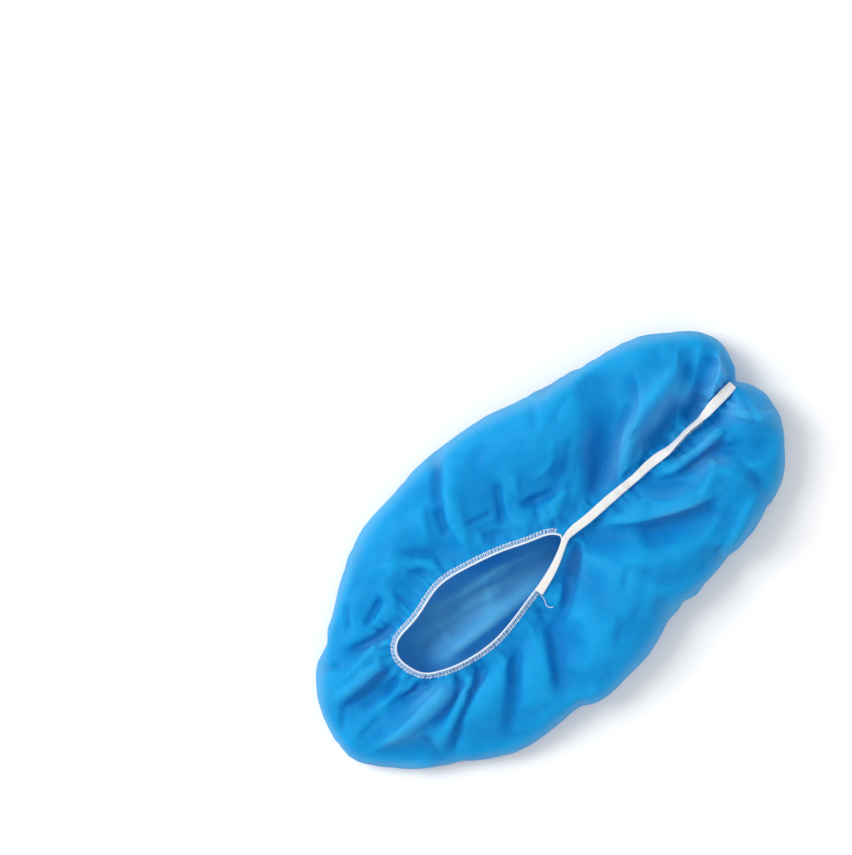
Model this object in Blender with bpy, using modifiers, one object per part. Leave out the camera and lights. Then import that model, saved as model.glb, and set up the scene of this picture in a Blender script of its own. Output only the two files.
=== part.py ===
"""Disposable non-woven shoe cover, lying on its sole with the foot opening up.

Metres, +Z up, +Y towards the toe. The origin is on the floor, under the middle of the outline.
The fabric is one bag: two halves meet along a seam from the toe to the foot opening, and a
stretch tape is sewn over that seam. The tables below are in millimetres.
"""
import math
from collections import namedtuple

import bpy
from mathutils import Vector

MM = 0.001

# Driving dimensions, in millimetres
COVER_LENGTH = 322.0
FABRIC_WALL = 1.0
SEAM_STEPS = 28
MOUTH_STEPS = 56
TAPE_THICKNESS = 0.8
EDGING_RADIUS = 1.15

# Shape of every section, in millimetres
RIM_HEIGHT_TOE = 12.0
RIM_HEIGHT_HEEL = 9.0
UNDER_INSET = 13.0
UNDER_SHARE = 0.75
DIP_REACH = 9.0
FOLD_CLEARANCE = 4.5
FOLD_RUN_IN = 9.0
RIM_FADE = 14.0
GATHERS = 17
GATHERS_BETWEEN = 23
GATHER_HEIGHT = 8.0
GATHER_REACH = 26.0
RIM_FULLNESS = 1.8
SOFTEN_ROUNDS = 2
SOFTEN_SHARE = 0.4
SOFTEN_FROM = 2
TOP_STEPS = 14
UNDER_STEPS = 2
SOLE_STEPS = 6
SOLE_TOE = (2.0, 126.0)
SOLE_HEEL = (-14.0, -133.0)
EDGING_SETBACK = 0.9
EDGING_DROP = 0.4

# The tables were drawn for a cover of this length
DRAWN_LENGTH = 322.0
SCALE = COVER_LENGTH / DRAWN_LENGTH * MM

RING_STEPS = 2 * SEAM_STEPS + MOUTH_STEPS
SEAM_SHARE = SEAM_STEPS / RING_STEPS

# The seam from the toe to the foot opening
Seam = namedtuple("Seam", "share x y z")
SEAM = [
    Seam(0.000, 2.6, 146.5, 29.0),
    Seam(0.035, 3.2, 130.0, 31.0),
    Seam(0.055, 4.6, 119.5, 30.0),
    Seam(0.085, 4.4, 103.0, 29.0),
    Seam(0.110, 4.0, 90.0, 29.0),
    Seam(0.150, 3.3, 69.0, 30.0),
    Seam(0.200, 1.9, 43.0, 31.0),
    Seam(0.250, -1.2, 17.5, 31.0),
]

# The edge of the foot opening, clockwise from the end of the seam as seen from above
Mouth = namedtuple("Mouth", "share x y z")
MOUTH = [
    Mouth(0.250, -1.2, 17.5, 31.0),
    Mouth(0.262, 3.0, 12.5, 31.0),
    Mouth(0.300, 9.6, -7.0, 32.0),
    Mouth(0.330, 12.3, -22.0, 33.0),
    Mouth(0.360, 15.2, -38.0, 33.0),
    Mouth(0.385, 16.5, -52.0, 33.0),
    Mouth(0.410, 15.3, -65.0, 32.0),
    Mouth(0.432, 12.5, -77.0, 31.0),
    Mouth(0.450, 8.8, -86.0, 30.0),
    Mouth(0.472, 2.5, -95.5, 29.5),
    Mouth(0.503, -12.0, -100.0, 29.0),
    Mouth(0.517, -18.5, -97.8, 29.0),
    Mouth(0.530, -22.4, -92.0, 29.5),
    Mouth(0.558, -23.8, -76.5, 30.0),
    Mouth(0.592, -28.4, -58.0, 31.0),
    Mouth(0.610, -28.4, -48.5, 31.5),
    Mouth(0.640, -25.0, -34.0, 32.0),
    Mouth(0.675, -19.0, -15.0, 32.0),
    Mouth(0.705, -12.3, 0.0, 32.0),
    Mouth(0.730, -7.3, 12.3, 31.3),
    Mouth(0.750, -1.2, 17.5, 31.0),
]

# The outline and the crest of the puffed fabric, clockwise from the toe notch: crest_at is the
# crest's place between the edge (0) and the outline (1), dip the drop of the fabric beside the edge
Rim = namedtuple("Rim", "share x y crest_at crest_z dip")
RIM = [
    Rim(0.000, 2.8, 148.3, 0.50, 28.0, 0.5),
    Rim(0.012, 8.5, 153.5, 0.50, 28.5, 2.0),
    Rim(0.030, 18.0, 157.8, 0.50, 32.0, 3.0),
    Rim(0.060, 33.0, 155.5, 0.52, 36.5, 4.5),
    Rim(0.095, 48.0, 147.5, 0.55, 40.0, 5.5),
    Rim(0.138, 61.5, 136.0, 0.55, 41.0, 5.5),
    Rim(0.165, 67.0, 125.0, 0.55, 40.5, 6.0),
    Rim(0.208, 75.0, 91.0, 0.55, 40.5, 6.0),
    Rim(0.250, 77.2, 50.0, 0.58, 41.0, 5.0),
    Rim(0.264, 75.2, 38.0, 0.60, 40.5, 3.0),
    Rim(0.292, 82.5, 14.0, 0.62, 40.0, 2.0),
    Rim(0.308, 84.7, 0.0, 0.62, 39.5, 2.0),
    Rim(0.346, 85.6, -31.0, 0.60, 37.5, 2.0),
    Rim(0.359, 81.5, -43.0, 0.58, 37.0, 2.0),
    Rim(0.384, 76.3, -81.0, 0.56, 35.0, 2.0),
    Rim(0.392, 73.5, -91.0, 0.56, 34.5, 2.0),
    Rim(0.416, 53.0, -123.0, 0.54, 32.5, 2.0),
    Rim(0.440, 30.0, -146.0, 0.52, 30.5, 2.0),
    Rim(0.455, 17.0, -158.0, 0.50, 29.0, 1.5),
    Rim(0.462, 10.5, -161.0, 0.50, 28.5, 1.5),
    Rim(0.488, -7.0, -158.2, 0.50, 28.5, 1.5),
    Rim(0.503, -20.0, -155.0, 0.50, 28.5, 1.5),
    Rim(0.526, -38.5, -141.5, 0.52, 29.5, 1.5),
    Rim(0.548, -50.0, -123.0, 0.54, 31.0, 1.5),
    Rim(0.586, -70.5, -90.0, 0.56, 33.0, 2.0),
    Rim(0.597, -75.0, -82.5, 0.57, 33.5, 2.0),
    Rim(0.609, -79.0, -68.0, 0.58, 34.0, 2.0),
    Rim(0.639, -84.4, -32.0, 0.60, 35.0, 2.0),
    Rim(0.676, -85.2, 1.0, 0.62, 36.5, 2.0),
    Rim(0.695, -82.6, 22.0, 0.62, 38.0, 2.0),
    Rim(0.733, -76.0, 48.0, 0.62, 40.5, 3.0),
    Rim(0.767, -70.0, 69.0, 0.64, 42.5, 5.0),
    Rim(0.808, -61.0, 104.0, 0.64, 41.5, 6.0),
    Rim(0.833, -55.5, 124.0, 0.62, 41.5, 6.0),
    Rim(0.852, -52.0, 132.0, 0.60, 41.5, 5.5),
    Rim(0.894, -36.5, 152.5, 0.58, 40.0, 5.5),
    Rim(0.917, -30.0, 158.0, 0.55, 38.5, 5.0),
    Rim(0.944, -20.0, 160.8, 0.52, 35.0, 4.0),
    Rim(0.967, -11.5, 158.6, 0.50, 32.0, 3.0),
    Rim(0.985, -3.0, 155.5, 0.50, 28.5, 2.0),
]

# Folds of the upper fabric, each along a bowed line. Height is up, or down for a hollow; left and
# right are the fold's reach on each side of its line, seen from its start to its end
Fold = namedtuple("Fold", "x0 y0 x1 y1 bow height left right")
UPPER_FOLDS = [
    Fold(-44, 122, 0, 34, 0, -8.0, 12, 32),
    Fold(-30, 140, -3, 56, -2, 8.0, 12, 10),
    Fold(-12, 124, -3, 74, 1, -5.0, 8, 8),
    Fold(-20, 150, 4, 110, -1, -9.0, 9, 14),
    Fold(-16, 159, 0, 122, 0, 5.0, 11, 8),
    Fold(8, 36, 44, 106, -2, 9.0, 22, 10),
    Fold(24, 46, 44, 103, 0, -8.0, 9, 22),
    Fold(17, 135, 8, 74, 4, 6.5, 8, 9),
    Fold(23, 133, 14, 78, 3, -7.0, 11, 8),
    Fold(40, 143, 19, 112, 1, -8.5, 13, 13),
    Fold(36, 156, 7, 131, 0, 6.0, 9, 16),
    Fold(31, 118, 66, 121, 0, -3.5, 10, 8),
    Fold(54, 120, 74, 74, 0, 4.0, 11, 9),
    Fold(4, 25, 42, -22, 0, -8.0, 9, 14),
    Fold(16, 13, 41, -20, 0, 4.0, 8, 8),
    Fold(26, -12, 74, -52, 2, -7.0, 14, 13),
    Fold(18, -35, 70, -92, 1, -7.0, 9, 17),
    Fold(23, -44, 42, -100, 4, 7.0, 9, 10),
    Fold(18, -57, 54, -125, -2, -7.0, 8, 10),
    Fold(16, -64, 39, -122, 1, 5.5, 8, 9),
    Fold(15, -72, 29, -120, 1, -7.5, 10, 8),
    Fold(13, -72, 13, -155, 5, 8.0, 8, 10),
    Fold(8, -86, 3, -125, 0, -5.0, 7, 7),
    Fold(25, -120, 57, -123, 0, -3.5, 8, 10),
    Fold(-1, -100, -14, -152, 0, -8.0, 13, 10),
    Fold(-20, -98, -22, -152, 0, 5.5, 8, 9),
    Fold(-25, -78, -38, -130, 0, -5.5, 8, 8),
    Fold(-49, -79, -41, -106, 1, -4.0, 8, 10),
    Fold(-87, 4, -43, -34, -3, -6.0, 9, 14),
    Fold(-74, -7, -43, -28, -1, 4.0, 10, 8),
    Fold(-74, -29, -46, -46, 0, 4.0, 8, 8),
    Fold(-29, -46, -50, -66, 0, -5.0, 8, 8),
    Fold(-40, -41, -63, -59, 0, -4.5, 8, 9),
    Fold(-19, 42, -12, 1, 3, 5.0, 8, 8),
    Fold(-19, 36, -33, 6, 0, -5.0, 9, 8),
    Fold(-56, 12, -24, -7, 0, -4.5, 9, 8),
    Fold(-17, -1, -36, -21, 0, -5.0, 8, 8),
]

# Folds that the sole's fabric makes where it lifts off the floor under the foot opening
SOLE_FOLDS = [
    Fold(-3, -8, -20, -62, 0, 6.0, 14, 14),
    Fold(8, -20, 2, -98, 2, 7.0, 14, 15),
]

# The stretch tape, from the toe over the seam and down the right edge of the foot opening: lift is
# its height over the fabric's edge, turn its roll about its own length in degrees
Tape = namedtuple("Tape", "x y lift width turn")
TAPE = [
    Tape(2.3, 146.6, 1.5, 5.4, 0),
    Tape(2.8, 139.0, 1.5, 5.8, 0),
    Tape(3.2, 130.0, 1.5, 5.6, 5),
    Tape(4.2, 124.0, 2.0, 5.6, 30),
    Tape(4.2, 118.0, 3.1, 5.6, 66),
    Tape(3.6, 110.0, 3.2, 5.6, 70),
    Tape(4.3, 101.0, 3.1, 5.6, 68),
    Tape(4.6, 94.0, 2.8, 5.6, 55),
    Tape(3.8, 88.0, 1.7, 5.4, 20),
    Tape(3.2, 80.0, 1.2, 5.2, 0),
    Tape(3.4, 70.0, 1.2, 4.6, 0),
    Tape(2.2, 50.0, 1.2, 5.2, 0),
    Tape(1.7, 35.0, 1.2, 5.2, 0),
    Tape(0.8, 24.0, 1.8, 5.0, 0),
    Tape(1.3, 17.5, 2.6, 3.6, 4),
    Tape(4.6, 10.5, 2.6, 3.6, 8),
    Tape(7.8, 3.5, 2.3, 4.2, 8),
    Tape(10.4, -4.0, 2.1, 4.6, 6),
    Tape(12.0, -10.0, 2.1, 5.0, 6),
    Tape(13.2, -15.0, 2.1, 5.2, 6),
]
TapeAt = namedtuple("TapeAt", "share x y lift width turn")
TAPE_STEPS = 72
TAIL_END_SHARE = 0.35
EDGING_STEPS = 76
EDGING_SIDE_RESOLUTION = 1

FABRIC_BLUE = (0.035, 0.33, 0.78, 1.0)
TAPE_WHITE = (0.83, 0.82, 0.80, 1.0)
THREAD_WHITE = (0.80, 0.86, 0.90, 1.0)


def clear_objects():
    for old in list(bpy.data.objects):
        bpy.data.objects.remove(old, do_unlink=True)


def new_collection(name):
    collection = bpy.data.collections.new(name)
    bpy.context.scene.collection.children.link(collection)
    return collection


def plain_material(name, colour, roughness):
    material = bpy.data.materials.new(name)
    material.use_nodes = True
    shader = material.node_tree.nodes["Principled BSDF"]
    shader.inputs["Base Color"].default_value = colour
    shader.inputs["Roughness"].default_value = roughness
    shader.inputs["Metallic"].default_value = 0.0
    return material


def ease(value):
    """Rise smoothly from 0 to 1 as value goes from 0 to 1."""
    held = min(max(value, 0.0), 1.0)
    return held * held * (3.0 - 2.0 * held)


def mix(first, second, share):
    return first + (second - first) * share


def hermite(before, start, end, after, share):
    """Read one named row between start and end, smoothly through its neighbours."""
    span = end.share - start.share
    part = (share - start.share) / span
    values = []
    for column in range(1, len(start)):
        slope_in = (end[column] - before[column]) / max(end.share - before.share, 1e-6) * span
        slope_out = (after[column] - start[column]) / max(after.share - start.share, 1e-6) * span
        square = part * part
        cube = square * part
        values.append(
            (2.0 * cube - 3.0 * square + 1.0) * start[column]
            + (cube - 2.0 * square + part) * slope_in
            + (3.0 * square - 2.0 * cube) * end[column]
            + (cube - square) * slope_out
        )
    return values


def read_open(table, share):
    """Read an open table at a share between its first and last rows."""
    last = len(table) - 1
    place = 0
    while place < last - 1 and table[place + 1].share <= share:
        place += 1
    before = table[max(place - 1, 0)]
    after = table[min(place + 2, last)]
    return hermite(before, table[place], table[place + 1], after, share)


def read_ring(table, share):
    """Read a table that runs once round and joins its own start."""
    first = table[0]
    last = table[-1]
    lead = last._replace(share=last.share - 1.0)
    tail = [first._replace(share=1.0), table[1]._replace(share=1.0 + table[1].share)]
    return read_open([lead] + table + tail, share)


def edge_point(share):
    """The fabric's edge: the seam, shared by both halves, or the foot opening."""
    if share > 1.0 - SEAM_SHARE:
        share = 1.0 - share
    if share <= SEAM_SHARE:
        return Vector(read_open(SEAM, share))
    return Vector(read_open(MOUTH, share))


def fold_height(fold, x, y):
    """Height that one fold adds at a point, round on its line and tapered at both ends."""
    run_x = fold.x1 - fold.x0
    run_y = fold.y1 - fold.y0
    length = math.hypot(run_x, run_y)
    along = ((x - fold.x0) * run_x + (y - fold.y0) * run_y) / (length * length)
    if along <= 0.0 or along >= 1.0:
        return 0.0
    side = ((y - fold.y0) * run_x - (x - fold.x0) * run_y) / length
    side -= fold.bow * 4.0 * along * (1.0 - along)
    reach = fold.left if side > 0.0 else fold.right
    if abs(side) >= reach:
        return 0.0
    round_top = (1.0 - (side / reach) ** 2) ** 2
    taper = ease(along / 0.25) * ease((1.0 - along) / 0.3)
    return fold.height * taper * round_top


def all_folds(folds, x, y):
    return sum(fold_height(fold, x, y) for fold in folds)


def gather_height(share, reach):
    """Small ruffles that the elastic pulls in beside the edge, in two uneven runs."""
    angle = 2.0 * math.pi * share
    ripple = math.sin(GATHERS * angle) + math.sin(GATHERS_BETWEEN * angle + 1.3)
    return 0.5 * GATHER_HEIGHT * ripple * math.exp(-reach / GATHER_REACH)


def section(share):
    """One rib of the fabric, from its edge over the crest, round the rim and under to the sole."""
    edge = edge_point(share)
    rim_x, rim_y, crest_at, crest_z, dip = read_ring(RIM, share)
    rib = Vector((rim_x - edge.x, rim_y - edge.y))
    length = rib.length
    outward = rib / length
    rim_z = mix(RIM_HEIGHT_HEEL, RIM_HEIGHT_TOE, ease((rim_y + 160.0) / 320.0))
    crest = crest_at * length
    dip_at = min(DIP_REACH, 0.4 * crest)
    points = []
    for step in range(TOP_STEPS + 1):
        part = step / TOP_STEPS
        reach = mix(part, ease(part), 0.25) * length
        if reach < dip_at:
            climb = 1.0 - reach / dip_at
            height = edge.z - dip * (1.0 - climb * climb)
        elif reach < crest:
            height = mix(edge.z - dip, crest_z, ease((reach - dip_at) / (crest - dip_at)))
        else:
            fall = min((reach - crest) / (length - crest), 1.0)
            height = rim_z + (crest_z - rim_z) * math.sqrt(1.0 - fall ** RIM_FULLNESS)
        x = edge.x + outward.x * reach
        y = edge.y + outward.y * reach
        weight = ease((reach - FOLD_CLEARANCE) / FOLD_RUN_IN) * ease((length - reach) / RIM_FADE)
        folded = all_folds(UPPER_FOLDS, x, y) + gather_height(share, reach)
        points.append(Vector((x, y, height + weight * folded)))
    inset = min(UNDER_INSET, UNDER_SHARE * length)
    for step in range(1, UNDER_STEPS + 1):
        angle = 0.5 * math.pi * step / UNDER_STEPS
        reach = length - inset * (1.0 - math.cos(angle))
        height = rim_z * (1.0 - math.sin(angle))
        points.append(Vector((edge.x + outward.x * reach, edge.y + outward.y * reach, height)))
    return points


def soften(ribs):
    """Even out the upper fabric's heights, so that no fold leaves a spike between two ribs."""
    for _ in range(SOFTEN_ROUNDS):
        heights = [[point.z for point in rib] for rib in ribs]
        for step, rib in enumerate(ribs):
            here = heights[step]
            ahead = heights[(step + 1) % RING_STEPS]
            behind = heights[step - 1]
            for place in range(SOFTEN_FROM, TOP_STEPS - 1):
                around = here[place - 1] + here[place + 1] + ahead[place] + behind[place]
                rib[place].z = mix(here[place], 0.25 * around, SOFTEN_SHARE)


def sole_spine(step):
    """The line down the middle of the sole where the two sides of the sole meet."""
    part = step / (RING_STEPS / 2)
    x = mix(SOLE_TOE[0], SOLE_HEEL[0], part)
    y = mix(SOLE_TOE[1], SOLE_HEEL[1], part)
    return Vector((x, y, max(0.0, all_folds(SOLE_FOLDS, x, y))))


def sole_points(start, end):
    """Points of the sole from under the rim to the spine, closer together near the spine."""
    points = []
    for step in range(1, SOLE_STEPS):
        part = 1.0 - (1.0 - step / SOLE_STEPS) ** 1.5
        x = mix(start.x, end.x, part)
        y = mix(start.y, end.y, part)
        points.append(Vector((x, y, max(0.0, all_folds(SOLE_FOLDS, x, y)))))
    return points


def fabric_grid():
    """Points and faces of the bag, with the seam and the sole's spine each made once."""
    points = []
    columns = []
    half = RING_STEPS // 2
    spine = {}
    ribs = [section(step / RING_STEPS) for step in range(RING_STEPS)]
    soften(ribs)
    for step, rib in enumerate(ribs):
        mirror = RING_STEPS - step
        column = []
        twin_step = step if step <= half else mirror
        rib += sole_points(rib[-1], sole_spine(twin_step))
        for place, point in enumerate(rib):
            if place == 0 and step >= RING_STEPS - SEAM_STEPS:
                column.append(columns[mirror][0])
                continue
            column.append(len(points))
            points.append(point)
        if twin_step not in spine:
            spine[twin_step] = len(points)
            points.append(sole_spine(twin_step))
        column.append(spine[twin_step])
        columns.append(column)
    faces = []
    for step in range(RING_STEPS):
        here = columns[step]
        there = columns[(step + 1) % RING_STEPS]
        for place in range(len(here) - 1):
            corners = [here[place], there[place], there[place + 1], here[place + 1]]
            kept = list(dict.fromkeys(corners))
            if len(kept) > 2:
                faces.append(kept)
    return points, faces


def mesh_object(name, points, faces, collection, material):
    mesh = bpy.data.meshes.new(name)
    mesh.from_pydata([point * SCALE for point in points], [], faces)
    mesh.update()
    mesh.shade_smooth()
    made = bpy.data.objects.new(name, mesh)
    made.data.materials.append(material)
    collection.objects.link(made)
    return made


def add_wall(made, thickness, offset):
    wall = made.modifiers.new("wall", "SOLIDIFY")
    wall.thickness = thickness * MM
    wall.offset = offset
    wall.use_even_offset = False
    wall.use_rim = True


def make_cover_body(collection):
    """The fabric bag, open at the foot opening and hollow inside."""
    points, faces = fabric_grid()
    material = plain_material("blue_nonwoven", FABRIC_BLUE, 0.75)
    body = mesh_object("cover_body", points, faces, collection, material)
    add_wall(body, FABRIC_WALL, -1.0)
    return body


def mouth_loop():
    """The edging's own line, just inside the fabric's edge all round the foot opening."""
    inward = EDGING_RADIUS + EDGING_SETBACK
    parts = [step / EDGING_STEPS for step in range(EDGING_STEPS)]
    edge = [edge_point(mix(SEAM_SHARE, 1.0 - SEAM_SHARE, part)) for part in parts]
    loop = []
    for step, point in enumerate(edge):
        ahead = edge[(step + 1) % EDGING_STEPS]
        behind = edge[step - 1]
        run = (ahead - behind).to_2d().normalized()
        loop.append(Vector((point.x + run.y * inward, point.y - run.x * inward, point.z - EDGING_DROP)))
    return loop


def make_mouth_edging(collection):
    """The overlocked elastic cord round the foot opening, one closed ring."""
    curve = bpy.data.curves.new("mouth_edging", "CURVE")
    curve.dimensions = "3D"
    curve.bevel_depth = EDGING_RADIUS * MM
    curve.bevel_resolution = EDGING_SIDE_RESOLUTION
    loop = mouth_loop()
    spline = curve.splines.new("POLY")
    spline.points.add(len(loop) - 1)
    for slot, point in zip(spline.points, loop):
        slot.co = (point * SCALE).to_4d()
    spline.use_cyclic_u = True
    curve.materials.append(plain_material("white_thread", THREAD_WHITE, 0.8))
    edging = bpy.data.objects.new("mouth_edging", curve)
    collection.objects.link(edging)
    return edging


def fabric_edge_height(x, y):
    """Height of the nearest point of the fabric's edge, along the seam or the tail's stretch."""
    nearest = None
    for step in range(TAPE_STEPS * 4 + 1):
        edge = edge_point(TAIL_END_SHARE * step / (TAPE_STEPS * 4))
        away = (edge.x - x) ** 2 + (edge.y - y) ** 2
        if nearest is None or away < nearest[0]:
            nearest = (away, edge.z)
    return nearest[1]


def tape_places():
    """Place, lift, width and turn of the tape, at even steps along its rows."""
    last = len(TAPE) - 1
    rows = [TapeAt(place / last, *row) for place, row in enumerate(TAPE)]
    return [read_open(rows, step / TAPE_STEPS) for step in range(TAPE_STEPS + 1)]


def make_elastic_tape(collection):
    """The flat stretch tape: a strip that rolls on edge for a stretch near the toe."""
    places = tape_places()
    points = []
    for step, (x, y, lift, width, turn) in enumerate(places):
        ahead = places[min(step + 1, TAPE_STEPS)]
        behind = places[max(step - 1, 0)]
        run = Vector((ahead[0] - behind[0], ahead[1] - behind[1])).normalized()
        roll = math.radians(turn)
        across = Vector((-run.y * math.cos(roll), run.x * math.cos(roll), math.sin(roll)))
        centre = Vector((x, y, fabric_edge_height(x, y) + lift))
        points.append(centre + across * (0.5 * width))
        points.append(centre - across * (0.5 * width))
    faces = [(2 * step + 1, 2 * step + 3, 2 * step + 2, 2 * step) for step in range(TAPE_STEPS)]
    material = plain_material("white_elastic", TAPE_WHITE, 0.85)
    tape = mesh_object("elastic_tape", points, faces, collection, material)
    add_wall(tape, TAPE_THICKNESS, 0.0)
    return tape


def build():
    clear_objects()
    collection = new_collection("shoe_cover")
    make_cover_body(collection)
    make_mouth_edging(collection)
    make_elastic_tape(collection)


build()
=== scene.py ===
# %% [markdown]
# # A disposable shoe cover
# The cover is a bag of thin blue spunbond fabric. Two halves of the bag meet along a seam from the
# toe to the foot opening, a stretch tape is sewn over that seam, and an overlocked elastic thread
# runs round the foot opening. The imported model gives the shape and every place; this lesson dresses
# it. All tables are in millimetres: x to the right, y towards the toe, z up from the floor.

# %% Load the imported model
import math
import random
from collections import namedtuple

import bpy
import numpy as np
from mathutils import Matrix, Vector
from mathutils.bvhtree import BVHTree
from mathutils.geometry import delaunay_2d_cdt
from mathutils.kdtree import KDTree


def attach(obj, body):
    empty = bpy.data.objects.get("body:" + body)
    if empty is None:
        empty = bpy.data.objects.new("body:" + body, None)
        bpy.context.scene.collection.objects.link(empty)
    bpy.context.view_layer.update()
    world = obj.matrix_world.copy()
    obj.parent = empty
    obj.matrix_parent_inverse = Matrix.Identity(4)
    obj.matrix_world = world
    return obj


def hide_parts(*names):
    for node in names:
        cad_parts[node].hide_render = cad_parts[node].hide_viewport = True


MM = 0.001
RAY_TOP = 80.0
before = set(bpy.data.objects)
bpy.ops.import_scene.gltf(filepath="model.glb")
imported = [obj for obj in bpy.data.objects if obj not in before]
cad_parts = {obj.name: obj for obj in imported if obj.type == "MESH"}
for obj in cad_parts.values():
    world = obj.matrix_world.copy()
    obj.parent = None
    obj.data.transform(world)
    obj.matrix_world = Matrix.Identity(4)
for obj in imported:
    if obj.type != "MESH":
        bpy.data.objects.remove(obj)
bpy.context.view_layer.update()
print("packed nodes:", sorted(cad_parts))

# %% [markdown]
# The photograph looks straight down on the cover, which lies turned on a white table. Leaving the
# cover square to the axes and turning the camera instead keeps every table easy to read.

# %% Place the camera above the table
CAMERA_PLACE = (-0.0994, 0.00205, 1.3875)
CAMERA_TURN = 47.0
CAMERA_LENS = 100.0

bpy.ops.object.camera_add(location=CAMERA_PLACE, rotation=(0.0, 0.0, math.radians(CAMERA_TURN)))
camera = bpy.context.object
camera.name = "photo_camera"
camera.data.lens = CAMERA_LENS
bpy.context.scene.camera = camera

# %% [markdown]
# One large soft lamp stands on the cover's left and the room is white. Big lamps give the soft
# edges of a studio shadow; a small one would draw every fold twice. The plain "Standard" view
# keeps the blue as clean as the fabric's own.

# %% Set the table and the light
FLOOR_SIZE = 6.0
FLOOR_WHITE = (0.90, 0.90, 0.90, 1.0)
ROOM_LIGHT = 0.80
LAMP_PLACE = Vector((-1.52, -0.76, 1.75))
LAMP_SIZE = 1.1
LAMP_POWER = 40.0


def plain_principled(name, colour, roughness):
    """A new node material, with the nodes that later steps add detail to."""
    material = bpy.data.materials.new(name)
    material.use_nodes = True
    shader = material.node_tree.nodes["Principled BSDF"]
    shader.inputs["Base Color"].default_value = colour
    shader.inputs["Roughness"].default_value = roughness
    return material, material.node_tree, shader


bpy.context.scene.view_settings.view_transform = "Standard"
bpy.ops.mesh.primitive_plane_add(size=FLOOR_SIZE, location=(0.0, 0.0, 0.0))
floor = bpy.context.object
floor.name = "white_table"
floor.data.materials.append(plain_principled("white_table", FLOOR_WHITE, 0.85)[0])

world = bpy.data.worlds.new("white_room")
world.use_nodes = True
world.node_tree.nodes["Background"].inputs["Color"].default_value = (1.0, 1.0, 1.0, 1.0)
world.node_tree.nodes["Background"].inputs["Strength"].default_value = ROOM_LIGHT
bpy.context.scene.world = world

lamp_turn = LAMP_PLACE.to_track_quat("Z", "Y").to_euler()
bpy.ops.object.light_add(type="AREA", location=LAMP_PLACE, rotation=lamp_turn)
lamp = bpy.context.object
lamp.name = "soft_lamp"
lamp.data.size = LAMP_SIZE
lamp.data.energy = LAMP_POWER
print("lamp at", tuple(round(value, 2) for value in LAMP_PLACE))

# %% [markdown]
# ## The fabric
# The bag is one thin sheet that folds where the elastic gathers it. A cloth made from nothing would
# have to be sewn, filled and let down again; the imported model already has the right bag, so its
# outer skin is copied, the inner wall is thrown away, and the sheet gets its own thin wall at the
# end. Flood filling over flat edges finds the skin, because only the cut edge turns by a right angle.

# %% Copy the outer skin of the bag
SKIN_WELD = 2e-5
SKIN_SHARPNESS = 58.0
SKIN_HOLE_SIDES = 6


def deselect_everything():
    if bpy.context.object and bpy.context.object.mode != "OBJECT":
        bpy.ops.object.mode_set(mode="OBJECT")
    bpy.ops.object.select_all(action="DESELECT")


def make_active(piece):
    deselect_everything()
    piece.select_set(True)
    bpy.context.view_layer.objects.active = piece


def copy_of_node(node, name):
    """A new object with its own mesh, welded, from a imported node."""
    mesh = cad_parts[node].data.copy()
    mesh.name = name
    mesh.materials.clear()
    piece = bpy.data.objects.new(name, mesh)
    bpy.context.scene.collection.objects.link(piece)
    make_active(piece)
    bpy.ops.object.mode_set(mode="EDIT")
    bpy.ops.mesh.select_all(action="SELECT")
    bpy.ops.mesh.remove_doubles(threshold=SKIN_WELD)
    bpy.ops.mesh.select_all(action="DESELECT")
    bpy.ops.object.mode_set(mode="OBJECT")
    return piece


def lowest_face(mesh):
    """The face nearest the floor that looks straight down."""
    looking_down = [face for face in mesh.polygons if face.normal.z < -0.95]
    return min(looking_down, key=lambda face: face.center.z)


def keep_outer_skin(piece):
    """Flood from the sole over the outside, then delete the inner wall and the cut edge."""
    bpy.ops.object.mode_set(mode="OBJECT")
    lowest_face(piece.data).select = True
    bpy.ops.object.mode_set(mode="EDIT")
    bpy.ops.mesh.select_mode(type="FACE")
    bpy.ops.mesh.faces_select_linked_flat(sharpness=math.radians(SKIN_SHARPNESS))
    bpy.ops.mesh.select_all(action="INVERT")
    bpy.ops.mesh.delete(type="FACE")
    bpy.ops.mesh.select_all(action="SELECT")
    bpy.ops.mesh.fill_holes(sides=SKIN_HOLE_SIDES)
    bpy.ops.mesh.tris_convert_to_quads(face_threshold=math.radians(70), shape_threshold=math.radians(80))
    bpy.ops.mesh.select_all(action="DESELECT")
    bpy.ops.object.mode_set(mode="OBJECT")


fabric = copy_of_node("cover_body", "fabric_bag")
whole_faces = len(fabric.data.polygons)
keep_outer_skin(fabric)
print("skin keeps", len(fabric.data.polygons), "faces of", whole_faces)

# %% [markdown]
# A pattern map comes before any wrinkle, so that the fabric's dots follow every fold. The sheet is
# cut where it turns under, which gives one flat ring for the upper and one piece for the sole, and
# the map is scaled so that one unit is one metre.

# %% Unwrap the sheet
UNDERSIDE_NORMAL = -0.12


def mark_turn_under(mesh):
    """Mark the edges between faces that look up or outwards and faces that look down."""
    under = {}
    for face in mesh.polygons:
        for key in face.edge_keys:
            under.setdefault(key, []).append(face.normal.z < UNDERSIDE_NORMAL)
    for edge in mesh.edges:
        sides = under.get(edge.key, [])
        edge.use_seam = len(sides) == 2 and sides[0] != sides[1]


def scale_map_to_metres(mesh):
    """Scale the map by the square root of real area over mapped area."""
    layer = mesh.uv_layers.active.data
    mapped = 0.0
    real = 0.0
    for face in mesh.polygons:
        corners = [layer[index].uv for index in face.loop_indices]
        shoelace = sum(a.x * b.y - b.x * a.y for a, b in zip(corners, corners[1:] + corners[:1]))
        mapped += abs(shoelace) / 2.0
        real += face.area
    factor = math.sqrt(real / mapped)
    for corner in layer:
        corner.uv *= factor
    return real


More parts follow.
